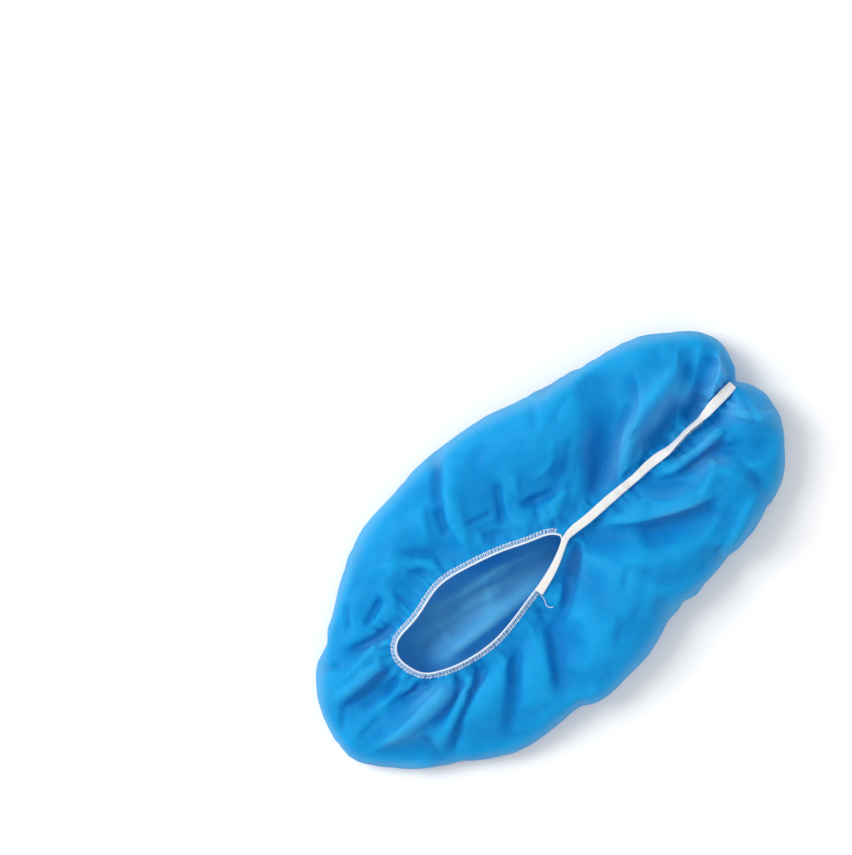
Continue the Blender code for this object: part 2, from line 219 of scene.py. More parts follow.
mark_turn_under(fabric.data)
make_active(fabric)
bpy.ops.object.mode_set(mode="EDIT")
bpy.ops.mesh.select_all(action="SELECT")
bpy.ops.uv.unwrap(method="CONFORMAL", margin=0.01)
bpy.ops.uv.average_islands_scale()
bpy.ops.object.mode_set(mode="OBJECT")
sheet_area = scale_map_to_metres(fabric.data)
print("sheet area", round(sheet_area, 4), "square metres")

# %% [markdown]
# Elastic holds the sheet at two places: along the seam under the tape and round the opening. Each
# point of the fabric needs its distance from that held line, because folds start beside the elastic
# and never on it.

# %% Measure from the held edge
Tape = namedtuple("Tape", "x y width turn")
TAPE = [
    Tape(2.3, 147.2, 5.2, -8),
    Tape(2.6, 143.0, 5.9, -4),
    Tape(2.8, 139.0, 6.0, 0),
    Tape(3.2, 130.0, 5.6, 6),
    Tape(3.8, 125.0, 5.2, 26),
    Tape(4.1, 119.0, 4.8, 58),
    Tape(3.7, 110.0, 4.8, 62),
    Tape(4.3, 101.0, 4.8, 60),
    Tape(4.6, 95.0, 5.0, 42),
    Tape(3.8, 88.0, 5.4, 12),
    Tape(3.2, 80.0, 5.2, 0),
    Tape(3.3, 70.0, 4.6, 4),
    Tape(2.7, 60.0, 4.9, -4),
    Tape(2.2, 50.0, 5.3, 0),
    Tape(1.8, 35.0, 5.2, 3),
    Tape(0.9, 24.0, 4.9, 0),
    Tape(1.3, 17.5, 3.7, 0),
    Tape(4.6, 10.5, 3.6, -4),
    Tape(7.8, 3.5, 4.2, 0),
    Tape(10.4, -4.0, 4.7, 3),
    Tape(12.0, -10.0, 5.0, 0),
    Tape(13.2, -15.0, 5.3, 0),
]
SEAM_END_Y = 18.0
HELD_SAMPLE = 1.0


def mesh_points(mesh):
    """All points as an array, in millimetres."""
    flat = np.empty(len(mesh.vertices) * 3)
    mesh.vertices.foreach_get("co", flat)
    return flat.reshape(-1, 3) / MM


def set_mesh_points(mesh, points):
    mesh.vertices.foreach_set("co", (points * MM).ravel())
    mesh.update()


def opening_loop(mesh):
    """The open edge of the skin as an ordered loop of points, in millimetres."""
    uses = {}
    for face in mesh.polygons:
        for key in face.edge_keys:
            uses[key] = uses.get(key, 0) + 1
    neighbours = {}
    for (first, second), count in uses.items():
        if count == 1:
            neighbours.setdefault(first, []).append(second)
            neighbours.setdefault(second, []).append(first)
    start = max(neighbours, key=lambda index: mesh.vertices[index].co.y)
    loop = [start]
    behind = start
    here = max(neighbours[start], key=lambda index: mesh.vertices[index].co.x)
    while here != start:
        loop.append(here)
        ahead = [index for index in neighbours[here] if index != behind]
        behind, here = here, ahead[0]
    return [mesh.vertices[index].co / MM for index in loop]


def resample(points, step, closed):
    """Points at even steps along a line, with the length covered at each."""
    run = points + points[:1] if closed else points
    lengths = [0.0]
    for first, second in zip(run, run[1:]):
        lengths.append(lengths[-1] + (second - first).length)
    count = max(int(round(lengths[-1] / step)), 2)
    spots = np.linspace(0.0, lengths[-1], count + 1)
    axes = [np.interp(spots, lengths, [point[axis] for point in run]) for axis in range(3)]
    placed = [Vector(values) for values in zip(*axes)]
    if closed:
        return placed[:-1], spots[:-1]
    return placed, spots


opening = opening_loop(fabric.data)
SEAM_HEIGHT = opening[0].z
seam_line = [Vector((row.x, row.y, SEAM_HEIGHT)) for row in TAPE if row.y > SEAM_END_Y]
seam_samples, seam_run = resample(seam_line, HELD_SAMPLE, False)
opening_samples, opening_run = resample(opening, HELD_SAMPLE, True)
held_samples = seam_samples + opening_samples
print("opening", round(opening_run[-1]), "mm round, seam", round(seam_run[-1]), "mm long")

# %% [markdown]
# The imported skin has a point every 5 mm. One level of subdivision rounds it and gives the crumple
# simulation enough points; a second level later gives the sharp creases theirs.

# %% Subdivide the sheet
HELD_GROUP = "held"


def subdivide(piece, levels):
    make_active(piece)
    finer = piece.modifiers.new("finer", "SUBSURF")
    finer.levels = levels
    finer.render_levels = levels
    bpy.ops.object.modifier_apply(modifier=finer.name)
    return len(piece.data.polygons)


print("first level gives", subdivide(fabric, 1), "faces")


def held_tree():
    tree = KDTree(len(held_samples))
    for index, point in enumerate(held_samples):
        tree.insert(point, index)
    tree.balance()
    return tree


HELD_TREE = held_tree()


def from_held_edge(points):
    """The distance of each point from the held line."""
    return np.array([HELD_TREE.find(Vector(point))[2] for point in points])


def ease(values):
    held = np.clip(values, 0.0, 1.0)
    return held * held * (3.0 - 2.0 * held)


def neighbour_mean(mesh, values, rounds):
    """Average each point's value with its neighbours', a number of times over."""
    ends = np.empty(len(mesh.edges) * 2, dtype=np.int64)
    mesh.edges.foreach_get("vertices", ends)
    first, second = ends.reshape(-1, 2).T
    count = len(mesh.vertices)
    shared = np.bincount(first, minlength=count) + np.bincount(second, minlength=count)
    smooth = values.copy()
    for _ in range(rounds):
        total = np.bincount(first, smooth[second], count) + np.bincount(second, smooth[first], count)
        smooth = 0.5 * smooth + 0.5 * total / shared
    return smooth


def point_normals(mesh):
    flat = np.empty(len(mesh.vertices) * 3)
    mesh.vertices.foreach_get("normal", flat)
    return flat.reshape(-1, 3)


# %% [markdown]
# The folds that the photograph shows are listed, one row for each. A fold runs along a bowed
# line; its height is up, or down for a hollow, and it falls off in a sharp-topped curve over its
# own reach on each side. A round top would look like padding, and thin stiff fabric folds sharply.

# %% Draw the broad folds
Fold = namedtuple("Fold", "x0 y0 x1 y1 bow height left right")
BROAD_FOLDS = [
    Fold(-28, 100, -1, 38, -3, -4.0, 5, 14),
    Fold(-27, 125, -4, 60, -4, 3.5, 9, 7),
    Fold(-10, 120, -1, 78, 1, -3.0, 5, 6),
    Fold(-19, 152, -3, 124, 1, -3.5, 5, 6),
    Fold(-15, 150, -1, 124, -2, 3.0, 6, 5),
    Fold(8, 37, 42, 103, -4, 3.0, 14, 5),
    Fold(26, 46, 40, 95, -2, -3.0, 5, 10),
    Fold(25, 111, 34, 90, 2, 2.5, 5, 5),
    Fold(18, 126, 8, 75, 3, 3.0, 6, 5),
    Fold(22, 125, 17, 85, 2, -3.0, 5, 6),
    Fold(33, 153, 10, 134, 3, 2.5, 6, 6),
    Fold(7, 22, 38, -20, 2, -3.5, 4, 9),
    Fold(30, -20, 72, -51, 2, -4.0, 8, 8),
    Fold(27, -45, 66, -88, 1, -4.0, 7, 6),
    Fold(20, -70, 38, -120, 3, 3.5, 5, 5),
    Fold(22, -62, 52, -122, -3, -3.5, 5, 5),
    Fold(14, -78, 13, -150, 4, 3.5, 7, 3),
    Fold(20, -78, 27, -115, 2, -3.5, 5, 6),
    Fold(-4, -104, -15, -148, -1, -3.0, 6, 6),
    Fold(-20, -103, -21, -147, 1, 3.0, 4, 5),
    Fold(-28, -78, -36, -126, 1, -3.0, 5, 4),
    Fold(-48, -83, -41, -103, 1, -2.0, 4, 4),
    Fold(-85, 1, -45, -31, -2, -3.5, 5, 7),
    Fold(-68, -12, -33, -27, 1, 2.5, 5, 6),
    Fold(-18, 37, -12, 1, 2, 2.5, 5, 5),
    Fold(-20, 32, -30, 9, 0, -2.0, 5, 5),
    Fold(-50, 10, -28, -4, 0, -2.5, 4, 5),
]
FOLD_TIP_IN = 0.22
FOLD_TIP_OUT = 0.34
ROUNDED = 1.7
EDGE_CLEAR = 3.0
EDGE_RUN_IN = 9.0


def fold_heights(folds, points, power):
    """Height that a table of folds adds at every point; power 1 is a sharp tent, more is rounder."""
    total = np.zeros(len(points))
    for fold in folds:
        run_x = fold.x1 - fold.x0
        run_y = fold.y1 - fold.y0
        length = math.hypot(run_x, run_y)
        from_x = points[:, 0] - fold.x0
        from_y = points[:, 1] - fold.y0
        along = (from_x * run_x + from_y * run_y) / length ** 2
        side = (from_y * run_x - from_x * run_y) / length
        side -= fold.bow * 4.0 * along * (1.0 - along)
        reach = np.where(side > 0.0, fold.left, fold.right)
        shape = np.clip(1.0 - np.abs(side) / reach, 0.0, 1.0) ** power
        taper = ease(along / FOLD_TIP_IN) * ease((1.0 - along) / FOLD_TIP_OUT)
        total += fold.height * shape * taper
    return total


def press_folds(piece, folds, power, clear=EDGE_CLEAR, run_in=EDGE_RUN_IN):
    """Move the upper fabric along its own normals by the folds' heights."""
    points = mesh_points(piece.data)
    normals = point_normals(piece.data)
    away = from_held_edge(points)
    upper = ease((normals[:, 2] + 0.1) / 0.5) * ease((away - clear) / run_in)
    heights = fold_heights(folds, points, power) * upper
    even_normals = np.stack([neighbour_mean(piece.data, axis, 3) for axis in normals.T], axis=1)
    set_mesh_points(piece.data, points + even_normals * heights[:, None])
    return heights


moved = press_folds(fabric, BROAD_FOLDS, ROUNDED)
print("broad folds move the fabric from", round(moved.min(), 1), "to", round(moved.max(), 1), "mm")

# %% [markdown]
# No table can hold all the small buckles of a crumpled sheet. Blender's Cloth makes them: the sheet
# is told that it is a few per cent larger than its place, with no gravity, while its held edge and
# its sole stay pinned, so the spare fabric has to buckle. A few steps are enough, and a cap on how
# far a point may move keeps the bag's shape.

# %% Crumple the fabric with the cloth solver
SPARE_FABRIC = 0.035
CRUMPLE_STEPS = 14
CRUMPLE_CAP = 5.0
SOLE_HEIGHT = 6.0


def pin_held_parts(piece):
    """A vertex group that is 1 at the held edge and on the sole and falls to 0 between them."""
    points = mesh_points(piece.data)
    away = from_held_edge(points)
    weights = np.maximum(1.0 - ease((away - 1.5) / 5.0), 1.0 - ease((points[:, 2] - 1.0) / SOLE_HEIGHT))
    group = piece.vertex_groups.new(name=HELD_GROUP)
    for index, weight in enumerate(weights):
        if weight > 0.0:
            group.add([index], float(weight), "REPLACE")
    return weights


def crumple(piece):
    """Let the spare fabric buckle, then pull back whatever moved past the cap."""
    before = mesh_points(piece.data)
    pin_held_parts(piece)
    make_active(piece)
    cloth = piece.modifiers.new("crumple", "CLOTH")
    cloth.settings.quality = 5
    cloth.settings.mass = 0.06
    cloth.settings.tension_stiffness = 25.0
    cloth.settings.compression_stiffness = 25.0
    cloth.settings.shear_stiffness = 12.0
    cloth.settings.bending_stiffness = 0.35
    cloth.settings.tension_damping = 8.0
    cloth.settings.compression_damping = 8.0
    cloth.settings.bending_damping = 0.5
    cloth.settings.shrink_min = -SPARE_FABRIC
    cloth.settings.shrink_max = -SPARE_FABRIC
    cloth.settings.vertex_group_mass = HELD_GROUP
    cloth.settings.effector_weights.gravity = 0.0
    cloth.collision_settings.use_collision = False
    cloth.point_cache.frame_start = 1
    cloth.point_cache.frame_end = CRUMPLE_STEPS
    for step in range(1, CRUMPLE_STEPS + 1):
        bpy.context.scene.frame_set(step)
    bpy.ops.object.modifier_apply(modifier=cloth.name)
    bpy.context.scene.frame_set(1)
    shift = mesh_points(piece.data) - before
    distance = np.linalg.norm(shift, axis=1)
    held_back = CRUMPLE_CAP * np.tanh(distance / CRUMPLE_CAP) / np.maximum(distance, 1e-6)
    set_mesh_points(piece.data, before + shift * held_back[:, None])
    return distance


distance = crumple(fabric)
print("crumple moves points", round(distance.mean(), 2), "mm on average")
print("and", round(distance.max(), 1), "mm at most, before the cap")

# %% [markdown]
# The second level gives the sheet a point every millimetre and a half. Stiff thin fabric creases
# along nearly straight lines with a flat facet on each side, so a crease is a small tent, not a
# wave. Power 1 gives that, where the broad folds were rounder.

# %% Press the sharp creases
SHARP_CREASES = [
    Fold(-44, 112, -9, 64, 4, -2.0, 2, 9),
    Fold(-36, 96, -14, 58, 3, 1.2, 3, 4),
    Fold(-17, 90, -14, 79, 0, -1.2, 3, 2),
    Fold(-8, 88, -2, 60, 1, 1.4, 4, 3),
    Fold(-30, 152, -8, 112, 3, 1.3, 6, 4),
    Fold(-24, 138, -11, 122, 0, -1.0, 4, 5),
    Fold(-18, 153, -6, 126, 2, -1.6, 3, 5),
    Fold(-7, 150, 1, 128, 1, 1.2, 3, 3),
    Fold(-58, 76, -53, 56, -1, -1.1, 4, 3),
    Fold(-66, 60, -50, 44, 1, 0.9, 5, 5),
    Fold(-48, 52, -30, 30, 1, 0.8, 5, 6),
    Fold(-40, 60, -22, 38, -1, -0.8, 5, 4),
    Fold(-38, 48, -36, 24, 1, 0.8, 4, 4),
    Fold(-28, 52, -18, 28, 0, 0.9, 3, 4),
    Fold(-18, 38, -18, 20, 0, 1.5, 3, 3),
    Fold(-19, 22, -11, 1, 1, 1.3, 3, 3),
    Fold(-23, 31, -31, 9, 0, -1.4, 4, 3),
    Fold(-50, 11, -28, -5, 1, -1.4, 3, 4),
    Fold(-46, 20, -34, 12, 0, 0.9, 4, 3),
    Fold(-30, 22, -16, 12, 0, -1.0, 3, 3),
    Fold(-38, -1, -45, -22, 1, -1.4, 3, 3),
    Fold(-25, -1, -36, -16, 0, 1.2, 3, 3),
    Fold(-36, -16, -27, -22, 0, 0.9, 3, 3),
    Fold(-86, 2, -60, -25, -2, -2.0, 3, 6),
    Fold(-62, -24, -44, -32, 0, -1.8, 3, 4),
    Fold(-70, -11, -46, -27, 0, 1.5, 4, 4),
    Fold(-50, -25, -31, -27, 0, 1.3, 3, 3),
    Fold(-69, -31, -49, -43, 0, 1.2, 3, 4),
    Fold(-32, -49, -46, -63, 0, -1.6, 3, 3),
    Fold(-41, -42, -60, -58, 1, -1.5, 3, 4),
    Fold(-52, -62, -62, -84, -1, 0.9, 5, 4),
    Fold(-46, -82, -40, -104, 1, -1.5, 3, 3),
    Fold(-57, -100, -43, -111, 0, -1.3, 3, 3),
    Fold(-27, -86, -38, -122, 2, -1.7, 3, 4),
    Fold(-29, -98, -27, -138, 2, 1.4, 3, 3),
    Fold(-33, -126, -40, -141, 0, -1.2, 3, 3),
    Fold(-19, -103, -21, -148, 1, 1.8, 4, 4),
    Fold(-12, -103, -14, -150, 0, -1.6, 4, 3),
    Fold(-15, -141, -4, -155, 0, -1.3, 3, 3),
    Fold(-4, -103, -7, -142, 1, -1.5, 4, 4),
    Fold(2, -100, 0, -130, 0, 1.1, 3, 3),
    Fold(5, -96, 6, -118, 0, -1.5, 3, 3),
    Fold(9, -88, 9, -118, 0, -1.3, 3, 3),
    Fold(13, -78, 13, -152, 5, 2.2, 6, 2),
    Fold(4, -128, 5, -149, 0, -1.2, 3, 3),
    Fold(20, -72, 38, -121, 3, 1.7, 4, 4),
    Fold(22, -60, 53, -123, -3, -2.2, 3, 5),
    Fold(30, -72, 45, -115, -1, 1.2, 4, 3),
    Fold(27, -118, 56, -124, 0, -1.6, 2, 7),
    Fold(26, -44, 67, -89, 1, -2.2, 3, 6),
    Fold(40, -60, 60, -82, 0, 1.3, 4, 3),
    Fold(46, -104, 62, -108, 0, 0.9, 4, 3),
    Fold(28, -22, 68, -50, 2, -1.6, 4, 5),
    Fold(6, 23, 39, -21, 2, -2.4, 3, 7),
    Fold(18, -1, 27, -14, 0, 1.3, 3, 3),
    Fold(17, 9, 39, -19, 1, 1.6, 4, 3),
    Fold(36, 36, 47, 19, -2, -1.0, 4, 3),
    Fold(48, 44, 60, 24, 1, 0.8, 5, 5),
    Fold(52, 12, 70, -6, 0, -0.8, 5, 5),
    Fold(8, 36, 43, 105, -4, 2.0, 8, 3),
    Fold(24, 112, 35, 88, 2, 1.5, 3, 3),
    Fold(34, 121, 64, 121, 0, -1.5, 2, 6),
    Fold(55, 118, 73, 76, -1, 1.4, 5, 4),
    Fold(64, 79, 74, 71, 0, -1.2, 3, 3),
    Fold(33, 154, 9, 133, 3, 1.8, 3, 5),
    Fold(28, 140, 12, 146, 0, -0.9, 3, 3),
    Fold(15, 134, 10, 74, 3, 1.6, 4, 4),
    Fold(21, 126, 19, 84, 1, -1.6, 3, 4),
    Fold(46, 100, 58, 72, 1, 0.8, 5, 6),
    Fold(44, 66, 34, 46, 0, -0.8, 5, 4),
]
SHARP = 1.1
CREASE_DEPTH = 1.5


def deeper(folds, factor):
    return [fold._replace(height=fold.height * factor) for fold in folds]


print("second level gives", subdivide(fabric, 1), "faces")
pressed = press_folds(fabric, deeper(SHARP_CREASES, CREASE_DEPTH), SHARP)
print(len(SHARP_CREASES), "creases, deepest", round(float(-pressed.min()), 1), "mm")

# %% [markdown]
# Elastic draws a long edge into a short one, and the spare fabric stands in gathers square to it.
# Each row below is a stretch of the held line with its own pitch and length; the places, leans and
# depths inside a stretch vary, from one fixed seed, because no two gathers are alike.

# %% Pinch the gathers beside the elastic
Gathers = namedtuple("Gathers", "start end pitch length depth width")
OPENING_GATHERS = [
    Gathers(4, 34, 7.5, 12, 1.0, 2.6),
    Gathers(36, 74, 5.5, 15, 1.2, 2.4),
    Gathers(76, 112, 4.6, 19, 1.4, 2.3),
    Gathers(113, 150, 4.2, 21, 1.5, 2.2),
    Gathers(151, 196, 4.8, 17, 1.3, 2.3),
    Gathers(197, 262, 5.2, 10, 1.0, 2.2),
]
SEAM_GATHERS = [
    Gathers(2, 34, 4.8, 12, 1.3, 2.2),
    Gathers(35, 76, 5.2, 10, 1.2, 2.2),
    Gathers(77, 122, 5.6, 11, 1.1, 2.3),
]
GATHER_SEED = 11
GATHER_CLEAR = 0.6
GATHER_RUN_IN = 2.0
GATHER_LEAN = 0.35


def line_at(samples, run, place):
    """Point and unit direction of a held line at a length along it."""
    index = min(int(np.searchsorted(run, place)), len(samples) - 2)
    ahead = samples[min(index + 2, len(samples) - 1)]
    behind = samples[max(index - 2, 0)]
    return samples[index], (ahead - behind).to_2d().normalized()


def gather_folds(rows, samples, run, sides, chance):
    """One small valley fold for every gather, square to the held line and outwards from it."""
    folds = []
    for row in rows:
        place = row.start
        while place < row.end:
            for side in sides:
                point, direction = line_at(samples, run, place + chance.uniform(-0.3, 0.3) * row.pitch)
                lean = chance.uniform(-GATHER_LEAN, GATHER_LEAN)
                outward = Vector((-direction.y, direction.x)) * side
                outward += direction * lean
                length = row.length * chance.uniform(0.55, 1.35)
                end = point.to_2d() + outward.normalized() * length
                start = point.to_2d() - outward.normalized() * 0.3 * length
                folds.append(
                    Fold(
                        x0=start.x,
                        y0=start.y,
                        x1=end.x,
                        y1=end.y,
                        bow=chance.uniform(-0.8, 0.8),
                        height=-row.depth * chance.uniform(0.6, 1.3),
                        left=row.width * chance.uniform(0.8, 1.3),
                        right=row.width * chance.uniform(0.8, 1.3),
                    )
                )
            place += row.pitch
    return folds


chance = random.Random(GATHER_SEED)
gathers = gather_folds(OPENING_GATHERS, opening_samples, opening_run, (1.0,), chance)
gathers += gather_folds(SEAM_GATHERS, seam_samples, seam_run, (-1.0, 1.0), chance)
pinched = press_folds(fabric, gathers, SHARP, GATHER_CLEAR, GATHER_RUN_IN)
print(len(gathers), "gathers, deepest", round(float(-pinched.min()), 1), "mm")

# %% [markdown]
# Between its creases stiff fabric is made of flat facets, like paper that was crumpled and opened
# again. A coarse net of triangles with random heights is just such a sheet, so each point of the
# fabric takes the net's height above its own place. A fine net follows the coarse one.

# %% Break the panels into facets
Facets = namedtuple("Facets", "spacing height")
FACETS = [
    Facets(25.0, 1.3),
    Facets(11.0, 0.55),
]
FACET_SEED = 3
FACET_SHAKE = 0.38
FACET_MARGIN = 80.0
FACET_CLEAR = 2.0
FACET_RUN_IN = 10.0
UNROLL_HEIGHT = 30.0


def facet_net(low, high, spacing, height, chance):
    """A search tree over triangles with shaken corners and random heights."""
    corners = []
    rows = int((high[1] - low[1]) / spacing) + 2
    columns = int((high[0] - low[0]) / spacing) + 2
    for row in range(rows):
        for column in range(columns):
            across = column + 0.5 * (row % 2) + chance.uniform(-FACET_SHAKE, FACET_SHAKE)
            up = row + chance.uniform(-FACET_SHAKE, FACET_SHAKE)
            corners.append(Vector((low[0] + across * spacing, low[1] + up * spacing)))
    placed, _, triangles = delaunay_2d_cdt(corners, [], [], 0, 1e-5)[:3]
    raised = [Vector((corner.x, corner.y, height * chance.uniform(-1.0, 1.0))) for corner in placed]
    return BVHTree.FromPolygons(raised, triangles)


def break_into_facets(piece, rows):
    """Move the fabric along its normals by the nets' heights; the sides are laid out flat first."""
    points = mesh_points(piece.data)
    normals = point_normals(piece.data)
    even_normals = np.stack([neighbour_mean(piece.data, axis, 6) for axis in normals.T], axis=1)
    places = points[:, :2] + even_normals[:, :2] * (UNROLL_HEIGHT - points[:, 2:])
    low = places.min(axis=0) - FACET_MARGIN
    high = places.max(axis=0) + FACET_MARGIN
    chance = random.Random(FACET_SEED)
    heights = np.zeros(len(points))
    for row in rows:
        net = facet_net(low, high, row.spacing, row.height, chance)
        for index, place in enumerate(places):
            heights[index] += net.ray_cast(Vector((place[0], place[1], RAY_TOP)), Vector((0, 0, -1)))[0].z
    away = from_held_edge(points)
    heights *= ease((away - FACET_CLEAR) / FACET_RUN_IN) * ease((normals[:, 2] + 0.5) / 0.5)
    set_mesh_points(piece.data, points + even_normals * heights[:, None])
    return heights


faceted = break_into_facets(fabric, FACETS)
print("facets move the fabric", round(float(np.abs(faceted).mean()), 2), "mm on average")

# %% [markdown]
# The floor of the bag shows through the opening. It lifts off the table in a few loose creases.

# %% Crease the sole under the opening
SOLE_CREASES = [
    Fold(2, 14, -24, -52, 1, 6.0, 8, 10),
    Fold(-8, -14, -24, -84, 0, 4.0, 7, 7),
    Fold(12, 2, 4, -96, 2, 7.0, 9, 7),
    Fold(1, -22, -12, -92, -1, 2.5, 4, 6),
    Fold(-14, -60, -10, -98, 0, 2.8, 5, 5),
    Fold(-18, -30, 8, -44, 1, 1.5, 4, 4),
    Fold(-20, -66, 6, -74, -1, 1.5, 4, 5),
]
SOLE_LIMIT_Z = 12.0
SOLE_ROUNDNESS = 1.3


def lift_sole(piece, folds):
    """Raise the sole's fabric along the given creases; it never goes under the table."""
    points = mesh_points(piece.data)
    normals = point_normals(piece.data)
    sole = ease((-normals[:, 2] - 0.3) / 0.4) * (points[:, 2] < SOLE_LIMIT_Z)
    lift = np.maximum(fold_heights(folds, points, SOLE_ROUNDNESS), 0.0) * sole
    points[:, 2] += lift
    set_mesh_points(piece.data, points)
    return lift


lifted = lift_sole(fabric, SOLE_CREASES)
print("sole lifts", round(float(lifted.max()), 1), "mm")

# %% [markdown]
# The finish paints light and shade from two things measured at each place: whether it is a ridge
# or a hollow, for painted shade in the hollows, and whether it is on the turned rim, for painted
# light where two layers lie close together over the white table. Both are measured on the mesh and
# kept as attributes, so they work from every side.

# %% Measure ridges, hollows and the rim
RELIEF_ROUNDS = 60
RELIEF_SPAN = 5.0
RIM_ROUNDS = 40


def keep_attribute(mesh, name, values):
    layer = mesh.attributes.new(name=name, type="FLOAT", domain="POINT")
    layer.data.foreach_set("value", np.ascontiguousarray(values, dtype=np.float32))


def measure_sheet(piece):
    points = mesh_points(piece.data)
    heights = points[:, 2]
    # Relief is low in hollows, where the colour gets painted shade; rim is high on steep walls, where it
    # gets painted light.
    above = heights - neighbour_mean(piece.data, heights, RELIEF_ROUNDS)
    relief = np.clip(0.5 + above / RELIEF_SPAN, 0.0, 1.0)
    slope = neighbour_mean(piece.data, point_normals(piece.data)[:, 2], RIM_ROUNDS)
    rim = ease((0.82 - slope) / 0.55)
    keep_attribute(piece.data, "relief", relief)
    keep_attribute(piece.data, "rim", rim)
    return relief


relief = measure_sheet(fabric)
print("relief", round(float(relief.min()), 2), "to", round(float(relief.max()), 2))

# %% [markdown]
# Later pieces lie on the fabric, so its surface is kept as a search tree before the sheet gets its
# wall. Solidify then closes the sheet: real spunbond is thinner still, but too thin a wall shows
# light through its own back.

# %% Give the sheet its thickness
SHEET_THICKNESS = 0.35

surface = BVHTree.FromPolygons(
    [vertex.co / MM for vertex in fabric.data.vertices],
    [tuple(face.vertices) for face in fabric.data.polygons],
)
edge_loop = opening_loop(fabric.data)


def fabric_height(x, y, otherwise):
    """Height of the upper fabric under a place, or another height where there is only the hole."""
    hit = surface.ray_cast(Vector((x, y, RAY_TOP)), Vector((0.0, 0.0, -1.0)))[0]
    if hit is None or hit.z < SOLE_LIMIT_Z:
        return otherwise
    return hit.z


def finish_sheet(piece, thickness):
    make_active(piece)
    wall = piece.modifiers.new("wall", "SOLIDIFY")
    wall.thickness = thickness * MM
    wall.offset = -1.0
    wall.use_even_offset = False
    bpy.ops.object.modifier_apply(modifier=wall.name)
    piece.data.shade_smooth()
    return len(piece.data.polygons)


print("fabric has", finish_sheet(fabric, SHEET_THICKNESS), "faces")

# %% [markdown]
# Spunbond is a web of fine fibres welded at rows of tiny points, and light passes through it. Its
# colour is painted: deep blue in the hollows as painted shade, pale specks on the welded dots as
# painted glints, and pale at the rim as painted light from the white table. The dots come from a
# square Voronoi pattern turned by 45 degrees on the sheet's own map, the clouds from noise, and a
# translucent shader shares the surface with the plain one.

# %% Blue spunbond
# The deep blue is painted shade for the hollows; the pale blue is painted light for the rim and painted
# glints on the dots.
HOLLOW_SHADE_BLUE = (0.002, 0.30, 0.66, 1.0)
MIDDLE_BLUE = (0.008, 0.50, 0.86, 1.0)
PAINTED_LIGHT_BLUE = (0.30, 0.74, 0.95, 1.0)
THROUGH_BLUE = (0.02, 0.70, 0.97, 1.0)
DOT_PITCH = 1.15
CLOUD_SIZE = 9.0
FIBRE_SIZE = 0.9
LIGHT_THROUGH = 0.55


def add_node(tree, kind, **settings):
    node = tree.nodes.new(kind)
    for name, value in settings.items():
        setattr(node, name, value)
    return node


def math_node(tree, operation, first, second=None, clamp=False):
    """A Math node; each input is a socket to follow or a plain number."""
    node = add_node(tree, "ShaderNodeMath", operation=operation, use_clamp=clamp)
    for slot, source in zip(node.inputs, (first, second)):
        if isinstance(source, bpy.types.NodeSocket):
            tree.links.new(source, slot)
        elif source is not None:
            slot.default_value = source
    return node.outputs["Value"]


def mix_colours(tree, share, first, second):
    node = add_node(tree, "ShaderNodeMix", data_type="RGBA")
    tree.links.new(share, node.inputs["Factor"])
    for slot, source in zip((node.inputs[6], node.inputs[7]), (first, second)):
        if isinstance(source, bpy.types.NodeSocket):
            tree.links.new(source, slot)
        else:
            slot.default_value = source
    return node.outputs[2]


def attribute_value(tree, name):
    return add_node(tree, "ShaderNodeAttribute", attribute_name=name).outputs["Fac"]


def noise_value(tree, vector, size, detail, roughness=0.55):
    node = add_node(tree, "ShaderNodeTexNoise")
    node.inputs["Scale"].default_value = 1.0 / (size * MM)
    node.inputs["Detail"].default_value = detail
    node.inputs["Roughness"].default_value = roughness
    tree.links.new(vector, node.inputs["Vector"])
    return node.outputs["Fac"]


def dot_value(tree, vector, pitch):
    """1 in the middle of every welded dot, 0 between dots."""
    turned = add_node(tree, "ShaderNodeMapping")
    turned.inputs["Rotation"].default_value = (0.0, 0.0, math.radians(45))
    tree.links.new(vector, turned.inputs["Vector"])
    cells = add_node(tree, "ShaderNodeTexVoronoi", voronoi_dimensions="2D")
    cells.inputs["Scale"].default_value = 1.0 / (pitch * MM)
    cells.inputs["Randomness"].default_value = 0.12
    tree.links.new(turned.outputs["Vector"], cells.inputs["Vector"])
    spread = math_node(tree, "MULTIPLY", cells.outputs["Distance"], 2.6)
    return math_node(tree, "SUBTRACT", 1.0, spread, clamp=True)


